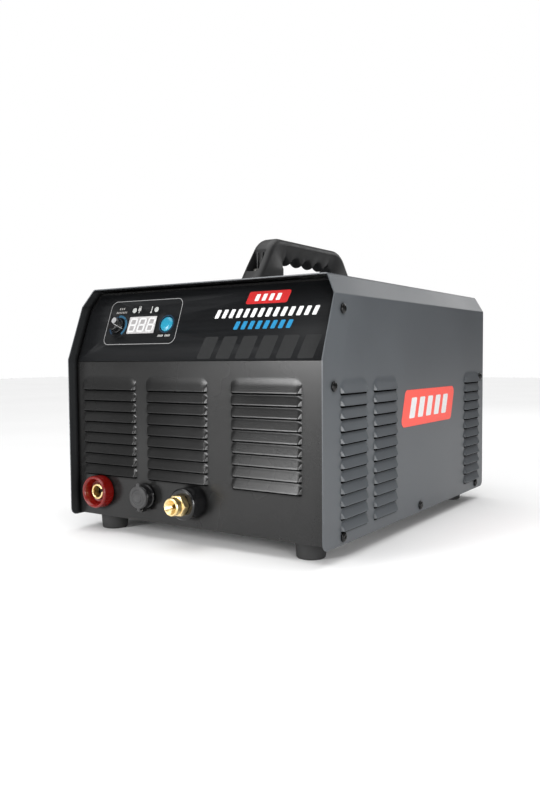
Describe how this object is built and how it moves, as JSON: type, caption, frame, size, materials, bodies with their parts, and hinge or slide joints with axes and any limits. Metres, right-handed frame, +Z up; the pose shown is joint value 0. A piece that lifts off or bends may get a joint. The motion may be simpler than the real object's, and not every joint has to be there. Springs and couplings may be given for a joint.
{
  "type": "plasma cutter unit",
  "caption": "Portable plasma cutting power unit in a bent steel case with a leaning control face, front connectors, louvred sides, a carrying handle and rubber feet.",
  "frame": {"origin": "on the floor under the middle of the unit's overall box", "axes": "+Z up, -Y the front with the controls and connectors, +X the unit's left seen from behind, which is its right seen from the front"},
  "size_m": [0.342, 0.49, 0.3376],
  "materials": {
    "powder_grey": "fine-textured powder coat, satin",
    "panel_grey": "fine-textured powder coat, satin",
    "zinc_plate": "zinc plated",
    "overlay_black": "satin printed film",
    "handle_black": "moulded, satin",
    "black_plastic": "moulded, satin",
    "rubber": "matt moulded rubber",
    "red_plastic": "glossy",
    "brass": "turned",
    "black_screw": "black oxide",
    "blue_cap": "glossy",
    "display_white": "satin",
    "lamp_white": "translucent",
    "board_green": "solder-masked laminate",
    "aluminium": "extruded",
    "ferrite": "matt",
    "capacitor_sleeve": "shrink sleeve",
    "hose_black": "smooth hose"
  },
  "bodies": {
    "chassis": {"outer_cover": "powder_grey", "front_panel": "panel_grey", "rear_panel": "panel_grey", "base_pan": "zinc_plate", "control_overlay": "overlay_black", "handle": "handle_black", "handle_screw_front": "zinc_plate", "handle_screw_rear": "zinc_plate", "work_socket_body": "red_plastic", "work_socket_insert": "brass", "work_socket_nut": "black_plastic", "control_socket_body": "black_plastic", "control_socket_pin": "zinc_plate", "torch_socket_collar": "black_plastic", "torch_socket_fitting": "brass", "torch_socket_nut": "brass", "potentiometer_body": "zinc_plate", "display_module": "display_white", "power_indicator": "lamp_white", "overheat_indicator": "lamp_white", "control_board": "board_green", "fan_housing": "black_plastic", "fan_guard": "zinc_plate", "power_switch_body": "black_plastic", "mains_gland": "black_plastic", "air_inlet": "brass", "earth_stud": "brass", "heat_sink": "aluminium", "power_board": "board_green", "bus_capacitor_left": "capacitor_sleeve", "bus_capacitor_right": "capacitor_sleeve", "transformer": "ferrite", "solenoid_valve": "brass", "air_hose": "hose_black", "cover_screw_left_front_top": "black_screw", "cover_screw_left_front_middle": "black_screw", "cover_screw_left_front_bottom": "black_screw", "cover_screw_left_middle_bottom": "black_screw", "cover_screw_left_rear_bottom": "black_screw", "cover_screw_left_rear_middle": "black_screw", "cover_screw_right_front_top": "black_screw", "cover_screw_right_front_middle": "black_screw", "cover_screw_right_front_bottom": "black_screw", "cover_screw_right_middle_bottom": "black_screw", "cover_screw_right_rear_bottom": "black_screw", "cover_screw_right_rear_middle": "black_screw", "foot_front_left": "rubber", "foot_rear_left": "rubber", "foot_front_right": "rubber", "foot_rear_right": "rubber", "foot_screw_front_left": "zinc_plate", "foot_screw_rear_left": "zinc_plate", "foot_screw_front_right": "zinc_plate", "foot_screw_rear_right": "zinc_plate"},
    "current_control": {"current_knob": "black_plastic", "potentiometer_shaft": "zinc_plate"},
    "test_button": {"gas_test_button": "blue_cap"},
    "socket_cap": {"control_socket_cap": "rubber"},
    "fan": {"fan_rotor": "black_plastic"},
    "rocker": {"power_rocker": "red_plastic"}
  },
  "joints": [
    {"name": "current_knob_turn", "type": "hinge", "parent": "chassis", "child": "current_control", "pos_m": [-0.1135, -0.1927, 0.23223], "axis": [0, -0.9348, 0.3552], "range_deg": [-150, 150]},
    {"name": "gas_test_press", "type": "slide", "parent": "chassis", "child": "test_button", "axis": [0, 0.9348, -0.3552], "range_m": [0, 0.0018], "stiffness_N_per_m": 400, "springref_m": -0.002},
    {"name": "socket_cap_swing", "type": "hinge", "parent": "chassis", "child": "socket_cap", "pos_m": [-0.0618, -0.2188, 0.0322], "axis": [1, 0, 0], "range_deg": [0, 100]},
    {"name": "fan_spin", "type": "hinge", "parent": "chassis", "child": "fan", "pos_m": [-0.07, 0.2047, 0.138], "axis": [0, 1, 0], "continuous": true},
    {"name": "power_rocker_tilt", "type": "hinge", "parent": "chassis", "child": "rocker", "pos_m": [0.088, 0.22, 0.216], "axis": [0, 0, 1], "range_deg": [0, 22]}
  ]
}
